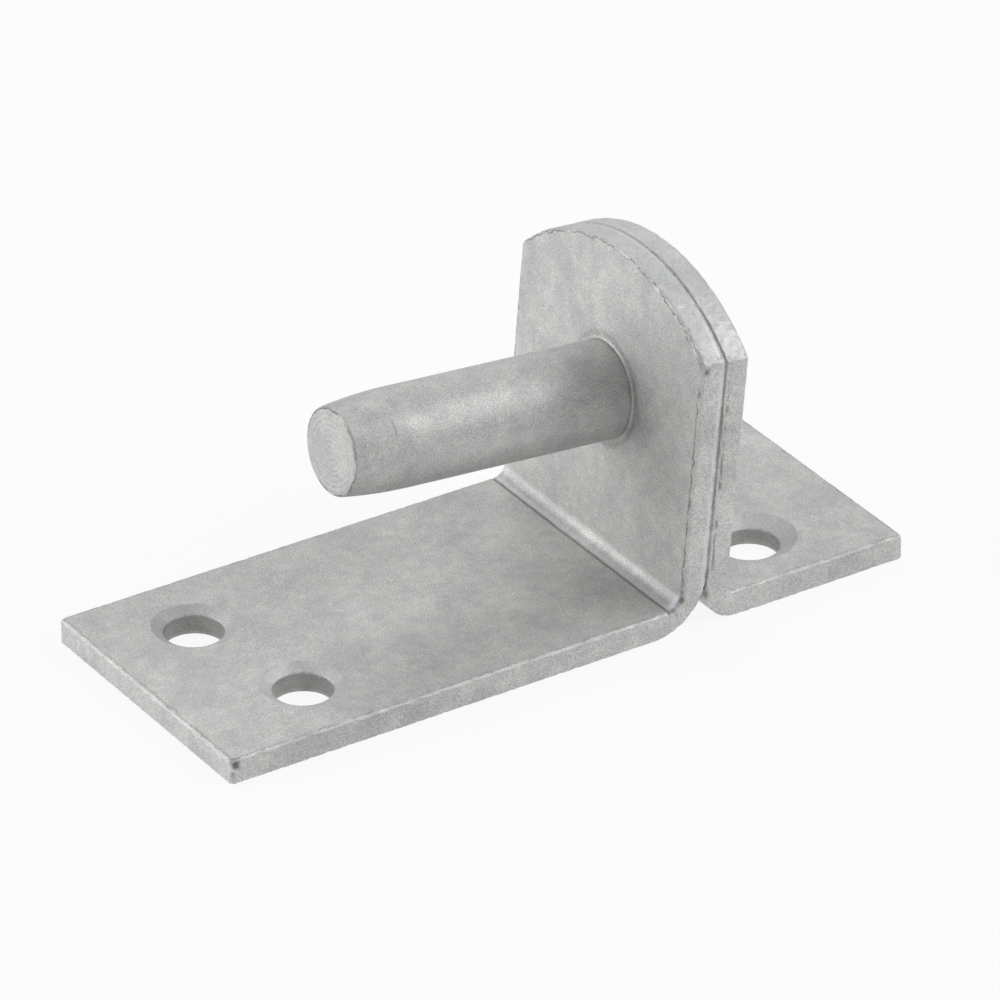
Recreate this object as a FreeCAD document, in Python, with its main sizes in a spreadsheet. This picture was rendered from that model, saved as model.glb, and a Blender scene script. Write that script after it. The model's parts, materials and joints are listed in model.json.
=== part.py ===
# Gate hinge pin on a two-leaf angled plate: two bent plates stand back to back,
# and the pin is shouldered on the front one and riveted over behind the rear one.
# Millimetres. +X runs along the long leg, the way the pin points, +Z points away from
# the surface that the legs are screwed to, and the origin lies in that surface under
# the middle of the whole plate.

import FreeCAD, Part
import math
import os
import Sketcher

V = FreeCAD.Vector

# Driving sizes: alias, value, what it is
SIZES = [
    ("long_leg", 85.5, "seam between the leaves to the free end of the long leg"),
    ("short_leg", 37.9, "seam between the leaves to the free end of the short leg"),
    ("plate_width", 50.4, "width of both plates across Y"),
    ("plate_thick", 4.4, "thickness of both plates"),
    ("long_inner_bend", 2.2, "radius inside the bend of the long plate"),
    ("long_outer_bend", 9.8, "radius outside that bend, where the metal has thinned"),
    ("short_inner_bend", 1.3, "radius inside the bend of the short plate"),
    ("short_outer_bend", 5.8, "radius outside that bend"),
    ("lean", 4.9, "degrees that the upright leaves lean away from the pin"),
    ("crown_height", 55.1, "top of the crown above the mounting surface, along the leaf"),
    ("crown_radius", 37.0, "radius of the arc over the top of the leaves"),
    ("crown_offset", 0.5, "middle of that arc towards +Y from the middle of the plates"),
    ("shoulder_radius", 1.2, "rounding where the crown meets the sides of the leaf"),
    ("corner_radius", 0.8, "rounding of the corners at the free ends of the legs"),
    ("rolled_edge", 0.8, "rounding of the arrises that the punch drew down, inside the bend"),
    ("sheared_edge", 0.3, "rounding of the arrises on the other face of the plates"),
    ("pin_height", 30.6, "axis of the pin above the mounting surface, along the leaf"),
    ("pin_dia", 16.0, "diameter of the pin"),
    ("pin_length", 50.0, "front face of the leaf to the end of the pin"),
    ("nose_length", 12.0, "length of the tapered nose at the end of the pin"),
    ("nose_dia", 14.2, "diameter of the nose at its end face"),
    ("nose_edge", 0.5, "rounding of the edge of the end face"),
    ("rivet_shank", 12.0, "diameter of the shank that passes through both leaves"),
    ("rivet_clearance", 0.1, "gap round the shank in the leaves"),
    ("rivet_dia", 15.5, "diameter of the riveted head behind the rear leaf"),
    ("rivet_height", 3.0, "height of the riveted head"),
    ("screw_bore", 9.5, "diameter of the screw holes"),
    ("long_sink", 13.2, "diameter of the countersinks in the long leg"),
    ("short_sink", 15.2, "diameter of the countersinks in the short leg"),
    ("sink_angle", 118.0, "included angle of the countersinks, degrees"),
    ("near_hole_inset", 21.1, "free end of the long leg to its screw hole on the +Y side"),
    ("far_hole_inset", 16.2, "free end of the long leg to its screw hole on the -Y side"),
    ("long_hole_spread", 23.7, "distance across the long leg between its two holes"),
    ("short_hole_inset", 20.3, "free end of the short leg to its screw holes"),
    ("short_hole_spread", 24.5, "distance across the short leg between its two holes"),
]
SIZE = {alias: value for alias, value, meaning in SIZES}

# Differences up to these, in mm and cubic mm, count as none
SAME_LENGTH = 1e-4
SAME_VOLUME = 1e-3

# Faces that meet at more than this many degrees leave an arris to be rounded
ARRIS_ANGLE = 30

doc = FreeCAD.newDocument("GateHingePin")
sheet = doc.addObject("Spreadsheet::Sheet", "Sizes")
for row, (alias, value, meaning) in enumerate(SIZES, start=1):
    sheet.set(f"A{row}", meaning)
    sheet.set(f"B{row}", str(value))
    sheet.setAlias(f"B{row}", alias)
doc.recompute()


# Helpers for bodies, sketches and features

def make_body(label, placement):
    body = doc.addObject("PartDesign::Body", label)
    body.Label = label
    body.setExpression("Placement", placement)
    return body


def make_sketch(body, name, role, offset=None):
    """A sketch on one of the body's own origin planes, moved off it by an expression."""
    plane = next(item for item in body.Origin.OriginFeatures if item.Role == role)
    sketch = body.newObject("Sketcher::SketchObject", name)
    sketch.AttachmentSupport = (plane, "")
    sketch.MapMode = "FlatFace"
    if offset:
        sketch.setExpression("AttachmentOffset", offset)
    return sketch


def bind(sketch, name, constraint, expression):
    """Adds a dimension to the sketch and ties it to the sheet."""
    index = sketch.addConstraint(constraint)
    sketch.renameConstraint(index, name)
    sketch.setExpression(f"Constraints.{name}", expression)


def cut(body, before, feature_name):
    """Stops the build where a cut has taken nothing off its body."""
    doc.recompute()
    if body.Shape.Volume > before - SAME_VOLUME:
        raise RuntimeError(f"{feature_name} removes nothing from {body.Label}")


def line(sketch, start, end):
    return sketch.addGeometry(Part.LineSegment(V(*start, 0), V(*end, 0)), False)


def arc(sketch, start, middle, end):
    return sketch.addGeometry(Part.Arc(V(*start, 0), V(*middle, 0), V(*end, 0)), False)


# The bent plates. Each is made in a frame of its own: the leg runs along +X on the
# XY plane, the outer faces of leg and leaf meet in the Y axis, and the leaf stands at
# corner_angle to the leg.

def bend_axis(radius, corner_angle, depth):
    """Where the axis of a bend arc lies, along the leg and above its underside: the arc is
    tangent to the two faces that lie at that depth below the outer faces."""
    half_angle = math.radians(corner_angle) / 2
    return (radius + depth) / math.tan(half_angle), radius + depth


def side_profile(body, name, corner_angle, corner_expression):
    """The bent strip seen from the side: outer lines first, then the lines inside the bend."""
    length = SIZE[f"{name}_leg"]
    thick = SIZE["plate_thick"]
    inner = SIZE[f"{name}_inner_bend"]
    outer = SIZE[f"{name}_outer_bend"]
    height = SIZE["crown_height"] + thick
    angle = math.radians(corner_angle)
    along = V(math.cos(angle), math.sin(angle), 0)
    inward = V(math.sin(angle), -math.cos(angle), 0)

    def on_bend(radius, depth, turn):
        """Point of a bend arc, turn from 0 at the leg to 1 at the leaf."""
        reach, height = bend_axis(radius, corner_angle, depth)
        down = math.radians(-90) - turn * (math.pi - angle)
        return (reach + radius * math.cos(down), height + radius * math.sin(down))

    outer_foot, outer_middle, outer_head = (on_bend(outer, 0, turn) for turn in (0, 0.5, 1))
    inner_foot, inner_middle, inner_head = (on_bend(inner, thick, turn) for turn in (0, 0.5, 1))
    top_back = along * height
    top_front = top_back + inward * thick
    sketch = make_sketch(body, "side_profile", "XZ_Plane")
    underside = line(sketch, (length, 0), outer_foot)
    outer_bend = arc(sketch, outer_foot, outer_middle, outer_head)
    back = line(sketch, outer_head, (top_back.x, top_back.y))
    top = line(sketch, (top_back.x, top_back.y), (top_front.x, top_front.y))
    front = line(sketch, (top_front.x, top_front.y), inner_head)
    inner_bend = arc(sketch, inner_head, inner_middle, inner_foot)
    upper_side = line(sketch, inner_foot, (length, thick))
    free_end = line(sketch, (length, thick), (length, 0))

    # Which end of each curve is its start: an arc drawn clockwise is stored reversed
    def end_at(curve, point):
        for end in (1, 2):
            found = sketch.getPoint(curve, end)
            if math.hypot(found.x - point[0], found.y - point[1]) < SAME_LENGTH:
                return end
        raise RuntimeError(f"curve {curve} has no end at {point}")

    add = sketch.addConstraint
    constraint = Sketcher.Constraint
    joints = [
        (underside, outer_bend, outer_foot),
        (outer_bend, back, outer_head),
        (front, inner_bend, inner_head),
        (inner_bend, upper_side, inner_foot),
    ]
    for first, second, point in joints:
        add(constraint("Tangent", first, end_at(first, point), second, end_at(second, point)))
    for first, second in ((back, top), (top, front), (upper_side, free_end), (free_end, underside)):
        add(constraint("Coincident", first, 2, second, 1))
    add(constraint("PointOnObject", underside, 1, -1))
    add(constraint("Horizontal", underside))
    add(constraint("Horizontal", upper_side))
    add(constraint("Vertical", free_end))
    add(constraint("Perpendicular", back, top))
    add(constraint("Parallel", back, front))
    add(constraint("PointOnObject", -1, 1, back))
    bind(sketch, "leg", constraint("DistanceX", -1, 1, underside, 1, length), f"Sizes.{name}_leg")
    bind(sketch, "thick", constraint("DistanceY", underside, 1, upper_side, 2, thick),
         "Sizes.plate_thick")
    bind(sketch, "leaf_thick", constraint("Distance", top, 1, front, thick), "Sizes.plate_thick")
    bind(sketch, "inner_bend", constraint("Radius", inner_bend, inner),
         f"Sizes.{name}_inner_bend")
    bind(sketch, "outer_bend", constraint("Radius", outer_bend, outer),
         f"Sizes.{name}_outer_bend")
    bind(sketch, "blank", constraint("Distance", -1, 1, top, 1, height),
         "Sizes.crown_height + Sizes.plate_thick")
    bind(sketch, "corner", constraint("Angle", -1, 1, back, 1, angle), corner_expression)
    return sketch


def crown_cut(body, tilt, side):
    """Trims the top of the leaf to its arc, with a sketch laid on the back of the leaf.
    The arc's middle is off the middle of the leaf, towards +Y where side is 1."""
    half = SIZE["plate_width"] / 2
    radius = SIZE["crown_radius"]
    crown = SIZE["crown_height"]
    middle = side * SIZE["crown_offset"]
    left_shoulder = crown - radius + math.sqrt(radius ** 2 - (half + middle) ** 2)
    right_shoulder = crown - radius + math.sqrt(radius ** 2 - (half - middle) ** 2)
    ceiling = crown + 2 * SIZE["plate_thick"]
    sketch = make_sketch(body, "crown", "YZ_Plane", tilt)
    over = arc(sketch, (half, right_shoulder), (middle, crown), (-half, left_shoulder))
    left = line(sketch, (-half, left_shoulder), (-half, ceiling))
    lid = line(sketch, (-half, ceiling), (half, ceiling))
    right = line(sketch, (half, ceiling), (half, right_shoulder))
    add = sketch.addConstraint
    constraint = Sketcher.Constraint
    add(constraint("Coincident", over, 2, left, 1))
    add(constraint("Coincident", left, 2, lid, 1))
    add(constraint("Coincident", lid, 2, right, 1))
    add(constraint("Coincident", right, 2, over, 1))
    add(constraint("Vertical", left))
    add(constraint("Horizontal", lid))
    add(constraint("Vertical", right))
    bind(sketch, "left_side", constraint("DistanceX", lid, 1, -1, 1, half), "Sizes.plate_width / 2")
    bind(sketch, "right_side", constraint("DistanceX", -1, 1, lid, 2, half), "Sizes.plate_width / 2")
    across = (-1, 1, over, 3) if side > 0 else (over, 3, -1, 1)
    bind(sketch, "offset", constraint("DistanceX", *across, abs(middle)), "Sizes.crown_offset")
    bind(sketch, "radius", constraint("Radius", over, radius), "Sizes.crown_radius")
    bind(sketch, "centre", constraint("DistanceY", -1, 1, over, 3, crown - radius),
         "Sizes.crown_height - Sizes.crown_radius")
    bind(sketch, "ceiling", constraint("DistanceY", -1, 1, lid, 1, ceiling),
         "Sizes.crown_height + 2 * Sizes.plate_thick")
    pocket(body, sketch, "crown_cut")


def pin_bore(body, tilt):
    """The hole in the leaf that the shank of the pin passes through."""
    height = SIZE["pin_height"]
    radius = SIZE["rivet_shank"] / 2 + SIZE["rivet_clearance"]
    sketch = make_sketch(body, "pin_bore", "YZ_Plane", tilt)
    rim = sketch.addGeometry(Part.Circle(V(0, height, 0), V(0, 0, 1), radius), False)
    sketch.addConstraint(Sketcher.Constraint("PointOnObject", rim, 3, -2))
    bind(sketch, "height", Sketcher.Constraint("DistanceY", -1, 1, rim, 3, height),
         "Sizes.pin_height")
    bind(sketch, "radius", Sketcher.Constraint("Radius", rim, radius),
         "Sizes.rivet_shank / 2 + Sizes.rivet_clearance")
    pocket(body, sketch, "bore_cut")


def pocket(body, sketch, name):
    """Cuts right through the leaf, towards the side where the leg lies."""
    doc.recompute()
    before = body.Shape.Volume
    feature = body.newObject("PartDesign::Pocket", name)
    feature.Profile = sketch
    feature.Type = "ThroughAll"
    feature.Reversed = True
    sketch.Visibility = False
    cut(body, before, name)


def screw_holes(body, leg, places, spread, sink):
    """Countersunk holes from the upper side of the leg. Each place is the name of the
    distance from the leg's free end, and the side of the middle line that the hole is on."""
    sketch = make_sketch(body, "screw_places", "XY_Plane",
                         "placement(vector(0; 0; Sizes.plate_thick); rotation(vector(0; 0; 1); 0))")
    across = SIZE[spread] / 2
    for number, (inset, side) in enumerate(places, start=1):
        reach = SIZE[leg] - SIZE[inset]
        centre = V(reach, side * across, 0)
        rim = sketch.addGeometry(Part.Circle(centre, V(0, 0, 1), SIZE["screw_bore"] / 2), False)
        upward = (-1, 1, rim, 3) if side > 0 else (rim, 3, -1, 1)
        bind(sketch, f"reach{number}",
             Sketcher.Constraint("DistanceX", -1, 1, rim, 3, reach), f"Sizes.{leg} - Sizes.{inset}")
        bind(sketch, f"across{number}",
             Sketcher.Constraint("DistanceY", *upward, across), f"Sizes.{spread} / 2")
        bind(sketch, f"bore{number}",
             Sketcher.Constraint("Diameter", rim, SIZE["screw_bore"]), "Sizes.screw_bore")
    doc.recompute()
    before = body.Shape.Volume
    hole = body.newObject("PartDesign::Hole", "screw_holes")
    hole.Profile = sketch
    hole.ThreadType = "None"
    hole.DepthType = "ThroughAll"
    hole.HoleCutType = "Countersink"
    hole.HoleCutCustomValues = True
    hole.setExpression("Diameter", "Sizes.screw_bore")
    hole.setExpression("HoleCutDiameter", f"Sizes.{sink}")
    hole.setExpression("HoleCutCountersinkAngle", "Sizes.sink_angle")
    sketch.Visibility = False
    cut(body, before, "screw_holes")


def round_edges(body, name, size, wanted):
    """Rounds the edges of the body's latest shape that the test picks."""
    doc.recompute()
    base = body.Tip
    before = base.Shape.Volume
    picked = [f"Edge{number}" for number, edge in enumerate(base.Shape.Edges, start=1)
              if not edge.Degenerated and wanted(base.Shape, edge)]
    feature = body.newObject("PartDesign::Fillet", name)
    feature.Base = (base, picked)
    feature.setExpression("Radius", f"Sizes.{size}")
    doc.recompute()
    if abs(body.Tip.Shape.Volume - before) < SAME_VOLUME:
        raise RuntimeError(f"{name} changes nothing on {body.Label}")


def is_sharp(shape, edge):
    """True where the two faces beside the edge leave an arris between them."""
    faces = shape.ancestorsOfType(edge, Part.Face)
    if len(faces) != 2:
        return False
    middle = edge.valueAt((edge.FirstParameter + edge.LastParameter) / 2)
    normals = [face.normalAt(*face.Surface.parameter(middle)) for face in faces]
    return math.degrees(normals[0].getAngle(normals[1])) > ARRIS_ANGLE


def bent_plate(name, side, places):
    """One leaf with its leg. The plate of side 1 keeps its own frame: its leg points along
    +X and its leaf leans away from the leg. The plate of side -1 is turned half round, and
    its leaf leans over the leg."""
    leg = f"{name}_leg"
    half = SIZE["plate_width"] / 2
    thick = SIZE["plate_thick"]
    bend = SIZE[f"{name}_inner_bend"]
    corner_angle = 90 + side * SIZE["lean"]
    inward = V(math.sin(math.radians(corner_angle)), 0, -math.cos(math.radians(corner_angle)))
    axis_reach, axis_height = bend_axis(bend, corner_angle, thick)
    body = make_body(f"{name}_plate",
                     "placement(vector((Sizes.short_leg - Sizes.long_leg) / 2; 0; 0); "
                     f"rotation(vector(0; 0; 1); {90 - side * 90}))")
    profile = side_profile(body, name, corner_angle, f"90 + {side} * Sizes.lean")
    strip = body.newObject("PartDesign::Pad", "strip")
    strip.Profile = profile
    strip.SideType = "Symmetric"
    strip.setExpression("Length", "Sizes.plate_width")
    profile.Visibility = False
    tilt = f"placement(vector(0; 0; 0); rotation(vector(1; 0; 0); {-side} * Sizes.lean))"
    crown_cut(body, tilt, side)

    def is_leg_corner(shape, edge):
        ends = [vertex.Point for vertex in edge.Vertexes]
        upright = abs(ends[0].z - ends[-1].z) > thick / 2 if len(ends) == 2 else False
        return upright and all(abs(end.x - SIZE[leg]) < SAME_LENGTH for end in ends)

    def is_shoulder(shape, edge):
        ends = [vertex.Point for vertex in edge.Vertexes]
        if len(ends) != 2 or not isinstance(edge.Curve, Part.Line):
            return False
        through = abs(ends[0].distanceToPoint(ends[1]) - thick) < SAME_LENGTH
        high = min(end.z for end in ends) > SIZE["crown_height"] / 2
        return high and through and abs(abs(ends[0].y) - half) < SAME_LENGTH

    def inside_bend(edge):
        """True for an edge of the faces that the bend folds together."""
        middle = edge.valueAt((edge.FirstParameter + edge.LastParameter) / 2)
        depth = min(middle.z, middle.dot(inward))
        from_axis = math.hypot(middle.x - axis_reach, middle.z - axis_height)
        on_flat = abs(depth - thick) < SAME_LENGTH
        return on_flat or abs(from_axis - bend) < SAME_LENGTH

    round_edges(body, "leg_corners", "corner_radius", is_leg_corner)
    round_edges(body, "shoulders", "shoulder_radius", is_shoulder)
    round_edges(body, "rolled_arrises", "rolled_edge",
                lambda shape, edge: is_sharp(shape, edge) and inside_bend(edge))
    round_edges(body, "sheared_arrises", "sheared_edge", is_sharp)
    pin_bore(body, tilt)
    screw_holes(body, leg, places, f"{name}_hole_spread", f"{name}_sink")
    return body


long_plate = bent_plate("long", 1, [("near_hole_inset", 1), ("far_hole_inset", -1)])
short_plate = bent_plate("short", -1, [("short_hole_inset", 1), ("short_hole_inset", -1)])


# The pin, turned about the X axis of its own frame, where X = 0 is the seam between
# the leaves: riveted head, shank through both leaves, shoulder, cylinder and nose.

def turned_pin():
    thick = SIZE["plate_thick"]
    tail = thick + SIZE["rivet_height"]
    head = SIZE["rivet_dia"] / 2
    shank = SIZE["rivet_shank"] / 2
    radius = SIZE["pin_dia"] / 2
    tip_radius = SIZE["nose_dia"] / 2
    tip = thick + SIZE["pin_length"]
    nose = tip - SIZE["nose_length"]
    drop = radius - tip_radius
    nose_curve = (SIZE["nose_length"] ** 2 + drop ** 2) / (2 * drop)
    half_way = SIZE["nose_length"] / 2
    half_drop = nose_curve - math.sqrt(nose_curve ** 2 - half_way ** 2)
    dome = (head ** 2 + SIZE["rivet_height"] ** 2) / (2 * SIZE["rivet_height"])
    dome_centre = -tail + dome
    dome_half = math.asin(head / dome) / 2
    dome_middle = (dome_centre - dome * math.cos(dome_half), dome * math.sin(dome_half))

    body = make_body("hinge_pin",
                     "placement(vector((Sizes.short_leg - Sizes.long_leg) / 2"
                     " - Sizes.pin_height * sin(Sizes.lean); 0; Sizes.pin_height * cos(Sizes.lean));"
                     " rotation(vector(0; 1; 0); -Sizes.lean))")
    sketch = make_sketch(body, "pin_profile", "XZ_Plane")
    head_dome = arc(sketch, (-tail, 0), dome_middle, (-thick, head))
    head_seat = line(sketch, (-thick, head), (-thick, shank))
    shank_side = line(sketch, (-thick, shank), (thick, shank))
    shoulder = line(sketch, (thick, shank), (thick, radius))
    side = line(sketch, (thick, radius), (nose, radius))
    taper = arc(sketch, (nose, radius), (nose + half_way, radius - half_drop), (tip, tip_radius))
    end_face = line(sketch, (tip, tip_radius), (tip, 0))
    axis = line(sketch, (tip, 0), (-tail, 0))

    # Both arcs are drawn clockwise, so each is stored from its far end to its near end
    add = sketch.addConstraint
    constraint = Sketcher.Constraint
    add(constraint("Coincident", axis, 2, head_dome, 2))
    add(constraint("Coincident", head_dome, 1, head_seat, 1))
    add(constraint("Coincident", head_seat, 2, shank_side, 1))
    add(constraint("Coincident", shank_side, 2, shoulder, 1))
    add(constraint("Coincident", shoulder, 2, side, 1))
    add(constraint("Tangent", side, 2, taper, 2))
    add(constraint("Coincident", taper, 1, end_face, 1))
    add(constraint("Coincident", end_face, 2, axis, 1))
    for flat in (shank_side, side):
        add(constraint("Horizontal", flat))
    for upright in (head_seat, shoulder, end_face):
        add(constraint("Vertical", upright))
    add(constraint("PointOnObject", axis, 1, -1))
    add(constraint("PointOnObject", axis, 2, -1))
    add(constraint("PointOnObject", head_dome, 3, -1))
    along = [
        ("front_face", thick, "Sizes.plate_thick", (-1, 1, shoulder, 1)),
        ("rear_face", thick, "Sizes.plate_thick", (head_seat, 1, -1, 1)),
        ("rivet", SIZE["rivet_height"], "Sizes.rivet_height", (axis, 2, head_seat, 1)),
        ("length", SIZE["pin_length"], "Sizes.pin_length", (shoulder, 1, axis, 1)),
        ("nose", SIZE["nose_length"], "Sizes.nose_length", (side, 2, axis, 1)),
    ]
    for name, value, expression, ends in along:
        bind(sketch, name, constraint("DistanceX", *ends, value), expression)
    across = [
        ("head", head, "Sizes.rivet_dia / 2", (head_seat, 1)),
        ("shank", shank, "Sizes.rivet_shank / 2", (shank_side, 1)),
        ("pin", radius, "Sizes.pin_dia / 2", (side, 1)),
        ("tip", tip_radius, "Sizes.nose_dia / 2", (end_face, 1)),
    ]
    for name, value, expression, end in across:
        bind(sketch, name, constraint("DistanceY", -1, 1, *end, value), expression)
    turning = body.newObject("PartDesign::Revolution", "turning")
    turning.Profile = sketch
    turning.ReferenceAxis = (sketch, ["H_Axis"])
    turning.Angle = 360
    sketch.Visibility = False

    def is_tip_rim(shape, edge):
        circle = isinstance(edge.Curve, Part.Circle)
        return circle and abs(edge.CenterOfMass.x - tip) < SAME_LENGTH

    round_edges(body, "tip_rim", "nose_edge", is_tip_rim)
    return body


hinge_pin = turned_pin()
doc.recompute()

nodes = (long_plate, short_plate, hinge_pin)
for item in doc.Objects:
    if "Invalid" in item.State or "Error" in item.State:
        raise RuntimeError(f"{item.Label} failed: {item.State}")
for body in nodes:
    if body.Shape.isNull() or not body.Shape.isValid():
        raise RuntimeError(f"{body.Label} has no valid shape")

os.makedirs("parts", exist_ok=True)
for body in nodes:
    body.Shape.exportStep(f"parts/{body.Label}.step")
    print(body.Label, round(body.Shape.Volume, 1), body.Shape.BoundBox)
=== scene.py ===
import json
import math

import bmesh
import bpy
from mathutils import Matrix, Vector, noise
from mathutils.bvhtree import BVHTree


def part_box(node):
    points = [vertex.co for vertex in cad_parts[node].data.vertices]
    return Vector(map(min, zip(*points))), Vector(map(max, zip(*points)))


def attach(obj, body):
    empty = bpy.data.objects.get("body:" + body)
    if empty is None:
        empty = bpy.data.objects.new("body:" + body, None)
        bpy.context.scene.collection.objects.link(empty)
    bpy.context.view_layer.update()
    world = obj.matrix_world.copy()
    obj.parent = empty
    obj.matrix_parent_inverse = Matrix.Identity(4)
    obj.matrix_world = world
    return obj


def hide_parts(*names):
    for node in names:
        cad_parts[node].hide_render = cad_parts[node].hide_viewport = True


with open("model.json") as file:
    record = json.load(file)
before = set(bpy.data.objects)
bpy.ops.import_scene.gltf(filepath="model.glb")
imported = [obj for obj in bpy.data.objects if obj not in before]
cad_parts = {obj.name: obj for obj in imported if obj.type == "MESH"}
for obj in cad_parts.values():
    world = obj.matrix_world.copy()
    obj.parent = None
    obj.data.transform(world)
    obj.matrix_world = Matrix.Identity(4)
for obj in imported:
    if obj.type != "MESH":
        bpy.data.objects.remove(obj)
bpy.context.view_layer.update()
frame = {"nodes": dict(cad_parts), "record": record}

# A hot-dip galvanised gate hinge pin: two bent plates back to back, and a round pin.
# Sizes and places are in millimetres here, in the frame's own axes.
MM = 0.001

# Camera: direction, distance, aim and focal length of the photograph's view
CAMERA_AZIMUTH = 146.844
CAMERA_ELEVATION = 30.08
CAMERA_DISTANCE = 1464.6
AIM_ACROSS = -17.495
AIM_UP = 8.964
FOCAL_PIXELS = 9368.8
IMAGE_SIZE = 1000.0
SENSOR = 36.0
CLIP_NEAR, CLIP_FAR = 50.0, 20000.0

# The part's sizes that the finish is placed by
LONG_LEG = 85.5
SHORT_LEG = 37.9
PLATE_THICK = 4.4
CROWN_HEIGHT, CROWN_RADIUS, CROWN_OFFSET = 55.1, 37.0, 0.5
PIN_RADIUS = 8.0
PIN_HEIGHT = 30.6
PIN_LENGTH = 50.0
PIN_END = PLATE_THICK + PIN_LENGTH
NOSE_RADIUS = 7.1
SCREW_RADIUS, SINK_RADIUS = 4.75, 7.6
NEAR_INSET, FAR_INSET, LONG_SPREAD = 21.1, 16.2, 23.7
SHORT_INSET, SHORT_SPREAD = 20.3, 24.5
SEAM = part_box("long_plate")[1][0] / MM - LONG_LEG
HALF_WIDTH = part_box("long_plate")[1][1] / MM

# Axis of the pin, and the way up along the leaves, which lean away from it
pin_mount = next(item for item in frame["record"]["mounts"] if item["kind"] == "pin")
ALONG = Vector(pin_mount["axis"])
UPWARD = Vector((-ALONG.z, 0.0, ALONG.x))
CORNER = Vector((SEAM, 0.0, 0.0))


def leaf_place(point):
    """Place of a point in mm as the leaves see it: off the seam, across, up the leaf."""
    offset = point - CORNER
    return offset.dot(ALONG), point.y, offset.dot(UPWARD)


def leaf_point(off, across, up):
    """The point in mm at that place on the leaves."""
    return CORNER + ALONG * off + UPWARD * up + Vector((0.0, across, 0.0))


def smooth(low, high, value):
    """Rises smoothly from 0 at low to 1 at high."""
    part = min(max((value - low) / (high - low), 0.0), 1.0)
    return part * part * (3.0 - 2.0 * part)


def band(middle, half_width, value):
    """1 at the middle of a band, falling smoothly to 0 at its edges."""
    return 1.0 - smooth(0.0, half_width, abs(value - middle))


def make_camera():
    azimuth = math.radians(CAMERA_AZIMUTH)
    elevation = math.radians(CAMERA_ELEVATION)
    back = Vector((math.sin(azimuth) * math.cos(elevation),
                   -math.cos(azimuth) * math.cos(elevation),
                   math.sin(elevation)))
    right = Vector((math.cos(azimuth), math.sin(azimuth), 0.0))
    up = back.cross(right)
    place = CORNER + back * CAMERA_DISTANCE + right * AIM_ACROSS + up * AIM_UP
    data = bpy.data.cameras.new("camera")
    data.sensor_width = SENSOR
    data.lens = FOCAL_PIXELS / IMAGE_SIZE * SENSOR
    data.clip_start = CLIP_NEAR * MM
    data.clip_end = CLIP_FAR * MM
    camera = bpy.data.objects.new("camera", data)
    camera.location = place * MM
    camera.rotation_euler = back.to_track_quat("Z", "Y").to_euler()
    bpy.context.scene.collection.objects.link(camera)
    bpy.context.scene.camera = camera


make_camera()


# Meshes. Each plate and the pin start from the solid's own mesh, diced fine enough to
# carry the ripple of the zinc, the dents and the ragged arrises. All of these go inwards
# but one, the run of zinc in the hollow of the bend.

# Lengths in mm that count as nothing: between doubled corners, off a cutting plane, and
# along the shortest edges; and the angle below which two faces count as one
DOUBLED, ON_PLANE, SLIVER = 0.001, 0.0001, 0.02
FLAT_ANGLE = math.radians(0.2)

# Waves of the zinc: length in mm, share of the whole, and place in the noise
WAVES = ((9.0, 0.25, Vector((0, 0, 0))),
         (2.6, 0.17, Vector((7, 3, 1))),
         (0.9, 0.08, Vector((2, 9, 5))))


def diced_copy(node, name, step, cuts=()):
    """A copy of the node's mesh, cut by planes a step apart along all three axes, and by
    the extra cuts, each a place and a normal, where the finish has thin lines; and the
    solid that it was cut from."""
    source = frame["nodes"][node]
    work = bmesh.new()
    work.from_mesh(source.data)
    bmesh.ops.transform(work, matrix=source.matrix_world, verts=work.verts)
    bmesh.ops.scale(work, vec=(1 / MM, 1 / MM, 1 / MM), verts=work.verts)
    bmesh.ops.remove_doubles(work, verts=work.verts, dist=DOUBLED)
    solid = BVHTree.FromBMesh(work)
    bmesh.ops.dissolve_limit(work, angle_limit=FLAT_ANGLE, verts=work.verts, edges=work.edges)
    planes = list(cuts)
    for axis in range(3):
        low = min(vert.co[axis] for vert in work.verts)
        high = max(vert.co[axis] for vert in work.verts)
        count = int((high - low) / step)
        normal = Vector((axis == 0, axis == 1, axis == 2))
        for number in range(1, count + 1):
            planes.append((normal * (low + (high - low) * number / (count + 1)), normal))
    for place, normal in planes:
        bmesh.ops.bisect_plane(work, geom=work.verts[:] + work.edges[:] + work.faces[:],
                               plane_co=place, plane_no=normal, dist=ON_PLANE)
    bmesh.ops.triangulate(work, faces=work.faces[:])
    bmesh.ops.dissolve_degenerate(work, edges=work.edges[:], dist=SLIVER)
    mesh = bpy.data.meshes.new(name)
    work.to_mesh(mesh)
    work.free()
    return mesh, solid


def ripple(point):
    """Unevenness of the zinc, 0 to 1: slow waves with finer ones on them."""
    return 0.5 + sum(share * noise.noise(point / length + shift)
                     for length, share, shift in WAVES)


def outward_normals(mesh, solid):
    """Normal at each vertex; where dicing has folded the mesh, the solid's own one."""
    for vertex, item in zip(mesh.vertices, mesh.vertex_normals):
        normal = Vector(item.vector)
        own = solid.find_nearest(vertex.co)[1]
        yield normal if normal.dot(own) > 0 else own


def finish_mesh(mesh, solid, sink, masks):
    """Moves each vertex inwards by what sink says of its point and normal in mm, and
    stores what each of the masks says of them under its name."""
    normals = list(outward_normals(mesh, solid))
    points = [vertex.co.copy() for vertex in mesh.vertices]
    for vertex, point, normal in zip(mesh.vertices, points, normals):
        vertex.co = (point - normal * sink(point, normal)) * MM
    for name, mask in masks.items():
        layer = mesh.attributes.new(name, "FLOAT", "POINT")
        values = [mask(point, normal) for point, normal in zip(points, normals)]
        layer.data.foreach_set("value", values)
    mesh.polygons.foreach_set("use_smooth", [True] * len(mesh.polygons))
    mesh.update()


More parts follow.
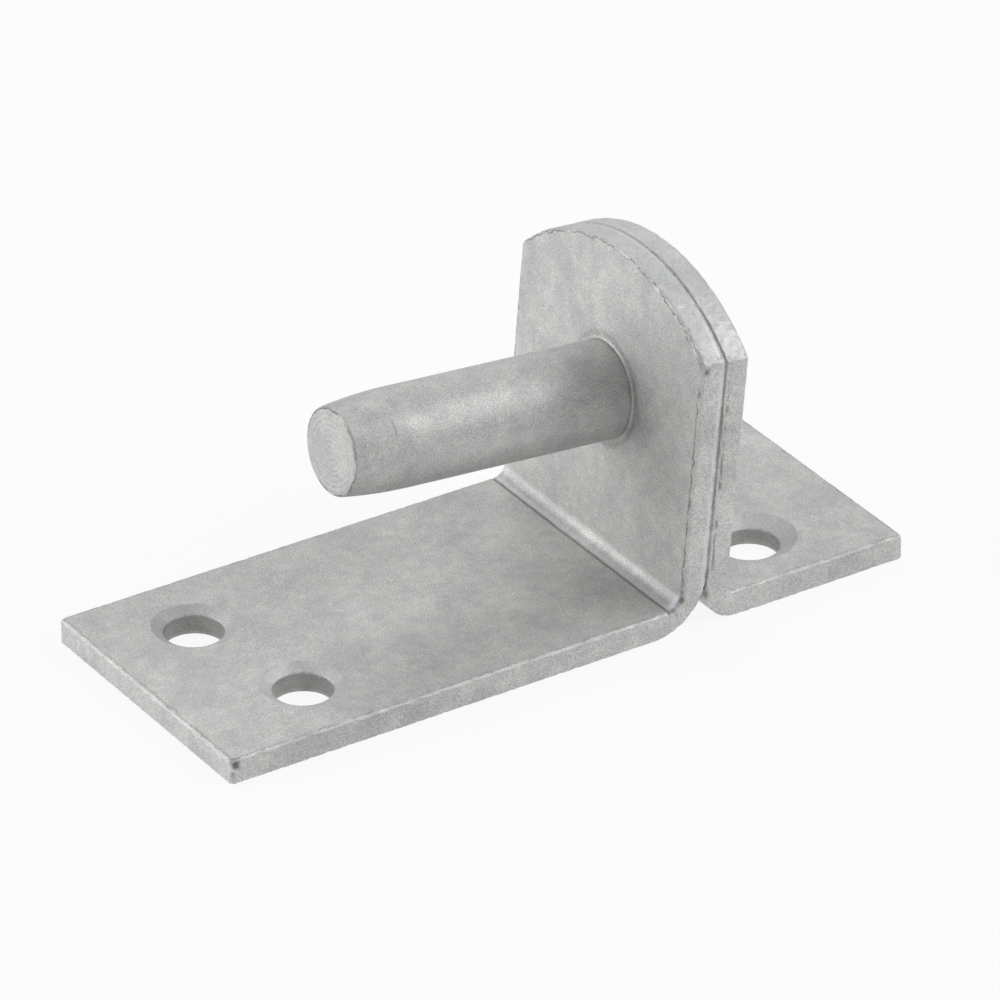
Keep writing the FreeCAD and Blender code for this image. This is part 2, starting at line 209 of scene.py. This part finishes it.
def add_piece(name, mesh, material, slot, *nodes):
    """Adds a visible piece, which stands in for the named nodes of the part."""
    piece = bpy.data.objects.new(name, mesh)
    bpy.context.scene.collection.objects.link(piece)
    mesh.materials.append(material)
    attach(piece, "root")
    if nodes:
        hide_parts(*nodes)


def steady(value):
    """A mask that has the same value all over."""
    return lambda point, normal: value


# Materials

class Nodes:
    """Short names for building a material's node tree."""

    def __init__(self, name):
        self.material = bpy.data.materials.new(name)
        self.material.use_nodes = True
        self.tree = self.material.node_tree
        self.shader = self.tree.nodes["Principled BSDF"]
        self.place = self.add("ShaderNodeTexCoord").outputs["Object"]

    def add(self, kind, **settings):
        node = self.tree.nodes.new(kind)
        for name, value in settings.items():
            setattr(node, name, value)
        return node

    def link(self, source, target):
        self.tree.links.new(source, target)

    def feed(self, value, socket):
        """Links a socket to the value, or sets a number or a colour on it."""
        if isinstance(value, bpy.types.NodeSocket):
            self.link(value, socket)
        elif isinstance(value, tuple):
            socket.default_value = (*value, 1.0)
        else:
            socket.default_value = value

    def noise(self, size, detail=3.0, rough=0.5):
        """Noise whose grains are about size millimetres across."""
        node = self.add("ShaderNodeTexNoise")
        node.inputs["Scale"].default_value = 1.0 / (size * MM)
        node.inputs["Detail"].default_value = detail
        node.inputs["Roughness"].default_value = rough
        self.link(self.place, node.inputs["Vector"])
        return node.outputs["Fac"]

    def mask(self, name):
        """The mask of that name, stored on the mesh."""
        return self.add("ShaderNodeAttribute", attribute_name=name).outputs["Fac"]

    def ramp(self, value, *stops):
        """Colours by value, given as stops of a value and a colour."""
        node = self.add("ShaderNodeValToRGB")
        elements = node.color_ramp.elements
        while len(elements) < len(stops):
            elements.new(0.5)
        for element, (place, colour) in zip(elements, stops):
            element.position = place
            element.color = (*colour, 1.0)
        self.link(value, node.inputs["Fac"])
        return node.outputs["Color"]

    def mix(self, factor, first, second, blend="MIX"):
        """Mixes two colours."""
        node = self.add("ShaderNodeMix", data_type="RGBA", blend_type=blend)
        for value, number in ((factor, 0), (first, 6), (second, 7)):
            self.feed(value, node.inputs[number])
        return node.outputs[2]

    def math(self, operation, first, second=0.0):
        """A sum, a product and so on; some operations take the first value only."""
        node = self.add("ShaderNodeMath", operation=operation)
        self.feed(first, node.inputs[0])
        self.feed(second, node.inputs[1])
        return node.outputs[0]

    def range(self, value, low, high, start=0.0, end=1.0):
        """The value with low to high drawn out to start to end, and no further."""
        node = self.add("ShaderNodeMapRange")
        self.link(value, node.inputs["Value"])
        for name, number in (("From Min", low), ("From Max", high),
                             ("To Min", start), ("To Max", end)):
            node.inputs[name].default_value = number
        return node.outputs["Result"]

    def bump(self, height, depth, under=None):
        """Bump of that depth in millimetres, on top of another one."""
        node = self.add("ShaderNodeBump")
        node.inputs["Strength"].default_value = 1.0
        node.inputs["Distance"].default_value = depth * MM
        self.link(height, node.inputs["Height"])
        if under:
            self.link(under, node.inputs["Normal"])
        return node.outputs["Normal"]


# Colours of the painted shade in the hollows, of the painted shade lines along arrises, and
# of the painted highlights
SHADE_COLOUR = (0.105, 0.10, 0.085)
ARRIS_SHADE_COLOUR = (0.17, 0.165, 0.15)
HIGHLIGHT_COLOUR = (0.80, 0.82, 0.85)

# How much of its colour the painted shade line gets, and how metallic and how rough the zinc
# is
ARRIS_SHADE_SHARE = 0.72
METALLIC = 0.55
ROUGH, SMOOTH = 0.62, 0.50

# Sizes of the clouds, patches and grains of the zinc, in mm
CLOUD, PATCH, GRAIN = 7.0, 2.2, 0.18

# Depths of the grains and of the rings left by the turning tool, and from ring to ring, in mm
GRAIN_DEPTH = 0.034
TURNING_DEPTH = 0.018
TURNING_PITCH = 0.85

# Distance in mm from the outline of a plate to the middle of the painted shade line along its
# arrises, the half widths of its core and of its fading edge, and the size of its gaps
ARRIS_LINE = 0.60
LINE_CORE, LINE_EDGE = 0.05, 0.20
LINE_GAP = 2.6


def arris_shade_line(nodes, reach):
    """1 on the thin painted shade line that comes and goes along the arrises, and strays by
    reach mm.
    """
    sway = nodes.range(nodes.noise(1.3, detail=3.0), 0.3, 0.7, -reach, reach)
    off_line = nodes.math("SUBTRACT", nodes.math("ADD", nodes.mask("rim"), sway), ARRIS_LINE)
    line = nodes.range(nodes.math("ABSOLUTE", off_line), LINE_CORE, LINE_EDGE, 1.0, 0.0)
    there = nodes.range(nodes.noise(LINE_GAP), 0.40, 0.52)
    return nodes.math("MULTIPLY", nodes.math("MULTIPLY", line, there), nodes.mask("line"))


def galvanised(name, tone, patch_depth, line_reach, turned=False):
    """Dull grey zinc: cloudy patches and fine grain; painted highlights, painted shade and
    painted shade lines along arrises by their masks.
    """
    nodes = Nodes(name)
    cloud = nodes.noise(CLOUD, detail=5.0, rough=0.62)
    patch = nodes.noise(PATCH, detail=3.0, rough=0.6)
    grain = nodes.noise(GRAIN, detail=2.0, rough=0.85)
    base = nodes.ramp(cloud, (0.32, tuple(tone * c for c in (0.91, 0.915, 0.91))),
                      (0.5, (tone, tone, tone * 0.985)),
                      (0.68, tuple(tone * c for c in (1.07, 1.07, 1.05))))
    patches = nodes.ramp(patch, (0.35, (0.93, 0.935, 0.94)), (0.65, (1.05, 1.05, 1.04)))
    grains = nodes.ramp(grain, (0.3, (0.56, 0.56, 0.56)), (0.7, (1.38, 1.38, 1.38)))
    base = nodes.mix(1.0, base, patches, "MULTIPLY")
    base = nodes.mix(1.0, base, grains, "MULTIPLY")
    # Painted highlights, then painted shade, then the painted shade line along the arrises
    base = nodes.mix(nodes.mask("painted_highlight"), base, HIGHLIGHT_COLOUR)
    base = nodes.mix(nodes.mask("painted_shade"), base, SHADE_COLOUR)
    line = arris_shade_line(nodes, line_reach)
    base = nodes.mix(nodes.math("MULTIPLY", line, ARRIS_SHADE_SHARE), base, ARRIS_SHADE_COLOUR)
    nodes.link(base, nodes.shader.inputs["Base Color"])
    nodes.shader.inputs["Metallic"].default_value = METALLIC
    rough = nodes.range(cloud, 0.3, 0.7, ROUGH, SMOOTH)
    nodes.link(rough, nodes.shader.inputs["Roughness"])
    surface = nodes.bump(patch, patch_depth)
    surface = nodes.bump(grain, GRAIN_DEPTH, surface)
    if turned:
        turns = nodes.math("MULTIPLY", nodes.mask("radius"), 2 * math.pi / TURNING_PITCH)
        surface = nodes.bump(nodes.math("SINE", turns), TURNING_DEPTH, surface)
    nodes.link(surface, nodes.shader.inputs["Normal"])
    return nodes.material


plate_zinc = galvanised("plate_zinc", 0.63, 0.05, 0.30)
pin_zinc = galvanised("pin_zinc", 0.61, 0.03, 0.14, turned=True)


# The plates

LONG_END = SEAM + LONG_LEG

# Where the bend of the long plate meets its leg, and how far up the leaves the crown
# meets the near side
CREASE = SEAM + 6.1
SHOULDER = 45.2

# How plainly painted shade shows on the walls of the screw holes, in the crease, round the
# root of the pin, in the thin line beside the seam, and in the seam, where it is thin and how
# much more where it is thick
BORE_SHADE, CREASE_SHADE, RING_SHADE, NEAR_SHADE = 0.42, 0.65, 0.35, 0.7
SEAM_SHADE, SEAM_SHADE_MORE = 0.34, 0.20

# How plainly painted highlights show on the lips of the seam, on the rolled edge of the long
# leg and above the crease, and painted light on the upturned cut face of the crown; and how
# much lighter the countersinks are made
LIP_HIGHLIGHT, ROLLED_HIGHLIGHT, CREASE_HIGHLIGHT = 0.80, 0.50, 0.50
CROWN_TOP_LIGHT, CONE_LIGHTER = 0.26, 0.24

# Dents and lumps: place, radius, depth inwards (a run of zinc is a lump, and negative)
BEND_RUN = Vector((SEAM + 5.0, HALF_WIDTH - 0.9, PLATE_THICK + 0.9))
END_CORNER = Vector((LONG_END, HALF_WIDTH, PLATE_THICK))
DENTS = [
    (END_CORNER, 1.5, 0.55),
    (END_CORNER - Vector((0.0, 0.0, 2.4)), 1.2, 0.25),
    (BEND_RUN, 1.5, -0.40),
    (leaf_point(3.4, HALF_WIDTH, SHOULDER - 0.6), 1.0, 0.35),
]

# Spots of painted highlight, then of painted shade: place, radius, strength
GLINT_SPOTS = [
    (END_CORNER - Vector((0.0, 0.0, 2.2)), 1.3, 0.8),
    (BEND_RUN, 1.8, 1.0),
    (leaf_point(2.3, HALF_WIDTH, SHOULDER - 0.6), 0.7, 0.7),
]
# Painted shade at the nicks, the shoulder and beside the run of zinc in the bend
SHADE_SPOTS = [
    (END_CORNER - Vector((0.9, 0.0, 1.1)), 1.0, 0.85),
    (END_CORNER - Vector((0.3, 0.0, 2.6)), 0.7, 0.55),
    (leaf_point(3.5, HALF_WIDTH, SHOULDER - 0.6), 0.8, 0.7),
    (leaf_point(-0.1, HALF_WIDTH, 5.4), 1.1, 0.5),
    (BEND_RUN + Vector((-0.9, 0.8, 0.6)), 1.0, 0.75),
    (BEND_RUN + Vector((-0.9, 0.8, 2.0)), 0.9, 0.60),
    (BEND_RUN + Vector((-0.25, 0.8, -0.05)), 0.8, 0.60),
    (BEND_RUN + Vector((0.4, 0.8, -0.7)), 0.8, 0.60),
]


def screw_centres():
    """Centres of the screw holes on the mounting surface."""
    across = LONG_SPREAD / 2
    yield Vector((LONG_END - NEAR_INSET, across, 0))
    yield Vector((LONG_END - FAR_INSET, -across, 0))
    for side in (1, -1):
        yield Vector((SEAM - SHORT_LEG + SHORT_INSET, side * SHORT_SPREAD / 2, 0))


HOLES = list(screw_centres())


def bore_mask(point, normal):
    """1 on the walls of the screw holes."""
    if point.z > PLATE_THICK + 0.01 or abs(normal.z) > 0.35:
        return 0.0
    for centre in HOLES:
        if math.hypot(point.x - centre.x, point.y - centre.y) < SCREW_RADIUS + 0.25:
            return 1.0
    return 0.0


def cone_mask(point, normal):
    """1 on the countersinks."""
    if not 1.0 < point.z < PLATE_THICK - 0.1 or normal.z < 0.35:
        return 0.0
    for centre in HOLES:
        if math.hypot(point.x - centre.x, point.y - centre.y) < SINK_RADIUS:
            return 1.0
    return 0.0


def seam_depth(point):
    """1 in the groove between the two leaves, 0 away from it."""
    off, _, up = leaf_place(point)
    if up < 2.0:
        return 0.0
    sway = 0.38 - 0.16 * smooth(34.0, 44.0, up)
    wobble = sway * noise.noise(point / 1.4)
    return 1.0 - smooth(0.10, 0.46, abs(off) + wobble)


def crease_depth(point):
    """1 along the line where the bend of the long plate meets its leg."""
    if abs(point.z - PLATE_THICK) > 0.35:
        return 0.0
    sway = 0.12 * noise.noise(point / 3.0)
    return band(CREASE + sway, 0.34, point.x)


def broken(point, length):
    """0 to 1 along a line that comes and goes about every length mm."""
    return smooth(-0.15, 0.20, noise.noise(point / length + Vector((4, 1, 8))))


def near_line(point):
    """Painted shade in the thin broken line down the near edge of the rear leaf."""
    off, across, up = leaf_place(point)
    if across < HALF_WIDTH - 0.9:
        return 0.0
    line = band(-0.85, 0.26, off) * (1.0 - smooth(38.0, 44.0, up)) * smooth(8.0, 12.0, up)
    return NEAR_SHADE * line * broken(point, 1.6)


def rim_distance(point, normal):
    """Distance in mm from the outline of the plates, for a point on one of their faces."""
    _, across, up = leaf_place(point)
    sides = HALF_WIDTH - abs(across)
    ends = min(LONG_END - point.x, point.x - SEAM + SHORT_LEG)
    crown = CROWN_RADIUS - math.hypot(across - CROWN_OFFSET, up - CROWN_HEIGHT + CROWN_RADIUS)
    return min(sides, ends, crown)


def line_strength(point, normal):
    """How plainly the painted shade line along the arrises shows: full on the leaves, fainter
    on the legs.
    """
    return 0.45 + 0.55 * smooth(7.0, 10.0, leaf_place(point)[2])


def spots(point, places):
    """Strength at a point of the strongest of the spots there."""
    found = [strength * (1.0 - smooth(0.3 * radius, radius, (point - place).length))
             for place, radius, strength in places]
    return max(found)


def painted_shade_mask(point, normal):
    """Painted shade on the plates: in the screw holes, the seam and the line beside it, the
    crease, round the pin's root and at spots.
    """
    off, across, up = leaf_place(point)
    ragged = 0.85 + 0.15 * noise.noise(point / 0.8)
    root = math.hypot(across, up - PIN_HEIGHT)
    ring = 0.0
    if abs(off - PLATE_THICK) < 0.1:
        ring = RING_SHADE * band(PIN_RADIUS + 0.9, 0.5, root)
    seam = seam_depth(point) * ragged * (SEAM_SHADE + SEAM_SHADE_MORE * broken(point, 2.0))
    seam *= 1.0 - 0.5 * smooth(44.0, 47.0, up)
    return min(1.0, max(BORE_SHADE * bore_mask(point, normal), seam, ring,
                        CREASE_SHADE * crease_depth(point), near_line(point),
                        spots(point, SHADE_SPOTS)))


def painted_highlight_mask(point, normal):
    """Painted highlights on the plates, painted light on the crown's upturned face, and
    lighter countersinks.
    """
    off, across, up = leaf_place(point)
    lips = LIP_HIGHLIGHT * band(0.70, 0.34, off) if up > 6.0 else 0.0
    rolled = 0.0
    if across > HALF_WIDTH - 1.0 and point.x > CREASE + 2.0:
        rolled = ROLLED_HIGHLIGHT * band(PLATE_THICK - 0.35, 0.35, point.z) * broken(point, 3.2)
    above_crease = CREASE_HIGHLIGHT * band(CREASE - 0.55, 0.45, point.x) if off > 4.5 else 0.0
    top = CROWN_TOP_LIGHT * smooth(0.5, 0.9, normal.dot(UPWARD)) * smooth(44.0, 47.0, up)
    cone = CONE_LIGHTER * cone_mask(point, normal)
    return max(lips, rolled, above_crease, top, cone, spots(point, GLINT_SPOTS))


def plate_sink(point, normal):
    """How far the zinc's surface lies inside the solid's; the leaves stay in touch."""
    if abs(leaf_place(point)[0]) < 0.02 and abs(normal.dot(ALONG)) > 0.9:
        return 0.0
    depth = 0.02 + 0.06 * ripple(point)
    depth += 0.04 * seam_depth(point) + 0.16 * crease_depth(point) + 0.06 * near_line(point)
    ragged = max(0.0, noise.noise(point / 0.7))
    depth += 0.26 * ragged * (1.0 - smooth(0.0, 0.8, rim_distance(point, normal)))
    for place, radius, dent in DENTS:
        depth += dent * (1.0 - smooth(0.0, radius, (point - place).length))
    return depth


# The size that the meshes are diced to, in mm
PLATE_DICE = 0.6
PIN_DICE = 0.5


def fine_cuts(side):
    """Cuts beside the seam, the crease, and the arrises of the near side."""
    for off in (0.15, 0.32, 0.50, 0.85):
        yield leaf_point(side * off, 0.0, 0.0), ALONG
    for inset in (0.3, 0.9):
        yield Vector((0.0, HALF_WIDTH - inset, 0.0)), Vector((0, 1, 0))
    yield Vector((0.0, 0.0, PLATE_THICK - 0.35)), Vector((0, 0, 1))
    if side > 0:
        for offset in (-0.35, -0.12, 0.12, 0.35):
            yield Vector((CREASE + offset, 0.0, 0.0)), Vector((1, 0, 0))
        for inset in (0.3, 0.9):
            yield Vector((LONG_END - inset, 0.0, 0.0)), Vector((1, 0, 0))


def make_plate(node, side):
    """The skin of a plate, which lies on side 1 or -1 of the seam."""
    mesh, solid = diced_copy(node, node + "_skin", PLATE_DICE, fine_cuts(side))
    finish_mesh(mesh, solid, plate_sink,
                {"painted_shade": painted_shade_mask, "painted_highlight": painted_highlight_mask, "rim": rim_distance,
                 "line": line_strength})
    add_piece(node + "_skin", mesh, plate_zinc, "zinc_plate", node)


make_plate("long_plate", 1)
make_plate("short_plate", -1)


# The pin

# Distance from the end to the faint line round the nose, and from the outline of the end
# face inwards to the line on it
NOSE_MARK = 7.4
END_INSET = 0.3

# How plainly painted shade shows in that line and at the root; and how plainly the painted
# shade line shows round the end face, where it is darker than on the plates
NOSE_SHADE, ROOT_SHADE = 0.50, 0.50
END_LINE = 1.25


def pin_radius(point):
    """Distance in mm from the axis of the pin."""
    _, across, up = leaf_place(point)
    return math.hypot(across, up - PIN_HEIGHT)


def turned_radius(point, normal):
    """The same distance on what the tool has turned: all but the riveted head."""
    return pin_radius(point) if leaf_place(point)[0] > 0 else 0.0


def end_distance(point, normal):
    """Distance in mm from the edge of the end face, counted so that the line lies on it."""
    inside = max(0.0, NOSE_RADIUS - END_INSET - pin_radius(point))
    return ARRIS_LINE + PIN_END - leaf_place(point)[0] - inside


def pin_sink(point, normal):
    """How far the zinc's surface lies inside the pin's."""
    return 0.03 + 0.05 * ripple(point)


def pin_painted_shade(point, normal):
    """Painted shade on the pin: at its root and in the line round the nose."""
    off = leaf_place(point)[0]
    if off < 0:
        return 0.0
    root = ROOT_SHADE * (1.0 - smooth(PLATE_THICK, PLATE_THICK + 0.8, off))
    nose = NOSE_SHADE * band(PIN_END - NOSE_MARK, 0.22, off) * broken(point, 4.0)
    return max(root, nose)


def nose_cuts():
    """Cuts beside the line round the nose."""
    for offset in (-0.22, -0.08, 0.08, 0.22):
        yield leaf_point(PIN_END - NOSE_MARK + offset, 0.0, 0.0), ALONG


def make_pin():
    mesh, solid = diced_copy("hinge_pin", "pin_skin", PIN_DICE, nose_cuts())
    finish_mesh(mesh, solid, pin_sink,
                {"painted_shade": pin_painted_shade, "painted_highlight": steady(0.0), "radius": turned_radius,
                 "rim": end_distance, "line": steady(END_LINE)})
    add_piece("pin_skin", mesh, pin_zinc, "zinc_pin", "hinge_pin")


make_pin()


def make_collar():
    """The small hollow run of zinc round the root of the pin."""
    width, height, steps, turns = 0.50, 0.34, 5, 120
    work = bmesh.new()
    rings = []
    for step in range(steps + 1):
        turn = math.radians(90) * step / steps
        radius = PIN_RADIUS - 0.1 + width * (1.0 - math.sin(turn))
        off = PLATE_THICK - 0.05 + height * (1.0 - math.cos(turn))
        ring = []
        for number in range(turns):
            angle = 2 * math.pi * number / turns
            across, up = radius * math.cos(angle), PIN_HEIGHT + radius * math.sin(angle)
            ring.append(work.verts.new(leaf_point(off, across, up) * MM))
        rings.append(ring)
    for lower, upper in zip(rings, rings[1:]):
        for number in range(turns):
            after = (number + 1) % turns
            work.faces.new((lower[number], lower[after], upper[after], upper[number]))
    bmesh.ops.recalc_face_normals(work, faces=work.faces[:])
    mesh = bpy.data.meshes.new("root_collar")
    work.to_mesh(mesh)
    work.free()
    mesh.polygons.foreach_set("use_smooth", [True] * len(mesh.polygons))
    add_piece("root_collar", mesh, pin_zinc, "zinc_pin")


make_collar()


# Studio: pale floor, white surroundings and soft lamps

FLOOR_SIZE = 4000.0
LAMP_SIZE = 700
WORLD_LIGHT = 0.3

# Share of plain white in the floor as the camera and reflections see it; the rest is the
# lit floor, with the part's shadow
FLOOR_WHITE = 0.90

# Place of each lamp in mm, and its power in watts
LAMPS = {
    "left_lamp": ((948, -620, 396), 6.4),
    "right_lamp": ((-784, 513, 750), 6.3),
    "back_lamp": ((-513, -784, 750), 1.2),
    "top_lamp": ((-117, -571, 1049), 2.2),
}


def make_floor():
    nodes = Nodes("floor")
    nodes.shader.inputs["Base Color"].default_value = (0.86, 0.86, 0.86, 1.0)
    nodes.shader.inputs["Roughness"].default_value = 0.9
    nodes.shader.inputs["Specular IOR Level"].default_value = 0.1
    glow = nodes.add("ShaderNodeEmission")
    glow.inputs["Color"].default_value = (1.0, 1.0, 1.0, 1.0)
    glow.inputs["Strength"].default_value = 1.0
    path = nodes.add("ShaderNodeLightPath")
    seen = nodes.math("MAXIMUM", path.outputs["Is Camera Ray"], path.outputs["Is Glossy Ray"])
    seen = nodes.math("MAXIMUM", seen, path.outputs["Is Transmission Ray"])
    share = nodes.math("MULTIPLY", seen, FLOOR_WHITE)
    blend = nodes.add("ShaderNodeMixShader")
    nodes.link(share, blend.inputs["Fac"])
    nodes.link(nodes.shader.outputs["BSDF"], blend.inputs[1])
    nodes.link(glow.outputs["Emission"], blend.inputs[2])
    output = nodes.tree.nodes["Material Output"]
    nodes.link(blend.outputs["Shader"], output.inputs["Surface"])
    work = bmesh.new()
    bmesh.ops.create_grid(work, x_segments=1, y_segments=1, size=FLOOR_SIZE / 2 * MM)
    mesh = bpy.data.meshes.new("floor")
    work.to_mesh(mesh)
    work.free()
    mesh.materials.append(nodes.material)
    floor = bpy.data.objects.new("floor", mesh)
    bpy.context.scene.collection.objects.link(floor)


make_floor()


def area_lamp(name, place, size, power):
    """A square soft box in mm that points at the part."""
    data = bpy.data.lights.new(name, "AREA")
    data.shape = "SQUARE"
    data.size = size * MM
    data.energy = power
    lamp = bpy.data.objects.new(name, data)
    lamp.location = Vector(place) * MM
    lamp.rotation_euler = Vector(place).to_track_quat("Z", "Y").to_euler()
    bpy.context.scene.collection.objects.link(lamp)


for lamp_name, (lamp_place, lamp_power) in LAMPS.items():
    area_lamp(lamp_name, lamp_place, LAMP_SIZE, lamp_power)


def make_world(strength):
    """White to the camera, and soft light of that strength on the part."""
    world = bpy.data.worlds.new("studio")
    bpy.context.scene.world = world
    world.use_nodes = True
    tree = world.node_tree
    lit = tree.nodes["Background"]
    lit.inputs["Color"].default_value = (1.0, 1.0, 1.0, 1.0)
    lit.inputs["Strength"].default_value = strength
    seen = tree.nodes.new("ShaderNodeBackground")
    seen.inputs["Color"].default_value = (1.0, 1.0, 1.0, 1.0)
    seen.inputs["Strength"].default_value = 1.0
    path = tree.nodes.new("ShaderNodeLightPath")
    blend = tree.nodes.new("ShaderNodeMixShader")
    tree.links.new(path.outputs["Is Camera Ray"], blend.inputs["Fac"])
    tree.links.new(lit.outputs["Background"], blend.inputs[1])
    tree.links.new(seen.outputs["Background"], blend.inputs[2])
    tree.links.new(blend.outputs["Shader"], tree.nodes["World Output"].inputs["Surface"])


make_world(WORLD_LIGHT)

bpy.context.scene.view_settings.view_transform = "Standard"
